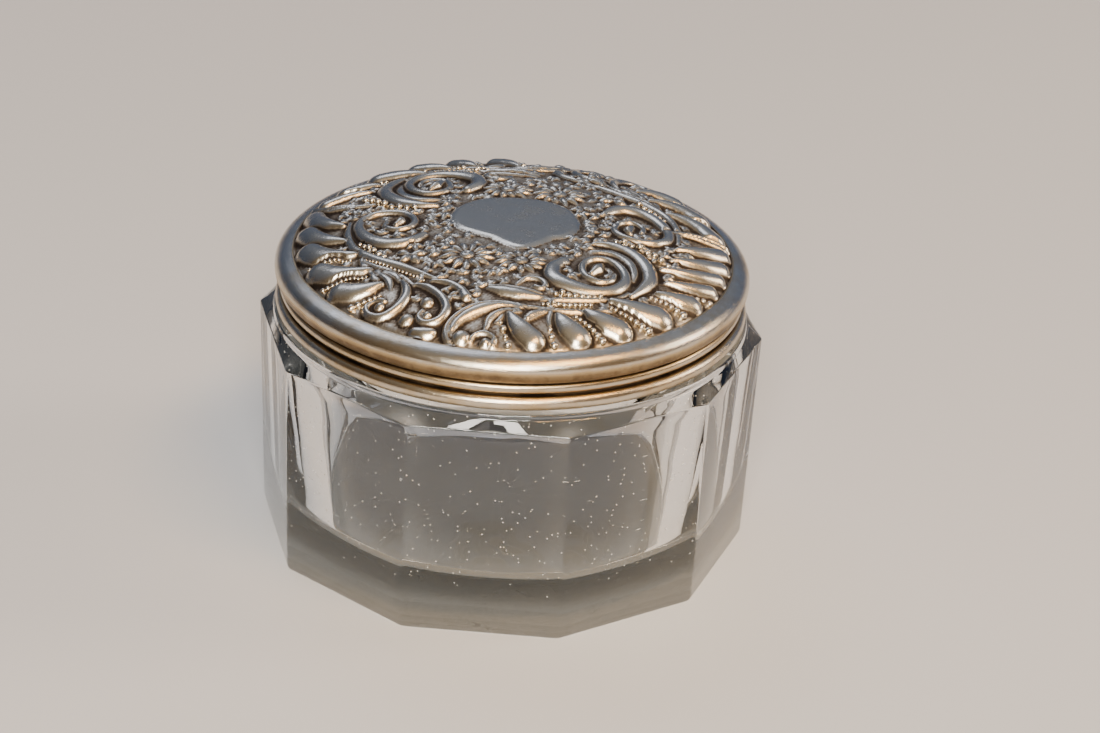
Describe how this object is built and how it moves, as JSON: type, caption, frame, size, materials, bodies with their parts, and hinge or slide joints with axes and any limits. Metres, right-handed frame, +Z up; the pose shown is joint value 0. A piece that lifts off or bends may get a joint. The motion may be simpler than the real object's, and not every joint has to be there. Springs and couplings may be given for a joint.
{
  "type": "powder jar",
  "caption": "Ten-sided clear glass powder jar with a thick base and a round neck, under a domed embossed silver lid with a smooth rim, which slips over the neck and lifts off.",
  "frame": {"origin": "centre of the jar's flat base, on the surface it stands on", "axes": "+Z up along the jar's axis; one flat glass panel faces -Y and two corners lie on the X axis"},
  "size_m": [0.082, 0.078, 0.054],
  "materials": {
    "jar_glass": "fire-polished pressed glass, with fine scratches",
    "embossed_silver": "die-stamped silver sheet, tarnish-darkened in the recesses and rubbed bright on top",
    "plain_silver": "polished silver with fine wear"
  },
  "bodies": {
    "jar": {"glass_jar": "jar_glass"},
    "lid": {"lid_top": "embossed_silver", "lid_skirt": "plain_silver", "lid_foot_bead": "plain_silver"}
  },
  "joints": [
    {"name": "lid_lift", "type": "slide", "parent": "jar", "child": "lid", "axis": [0, 0, 1], "range_m": [0, 0.03]}
  ]
}
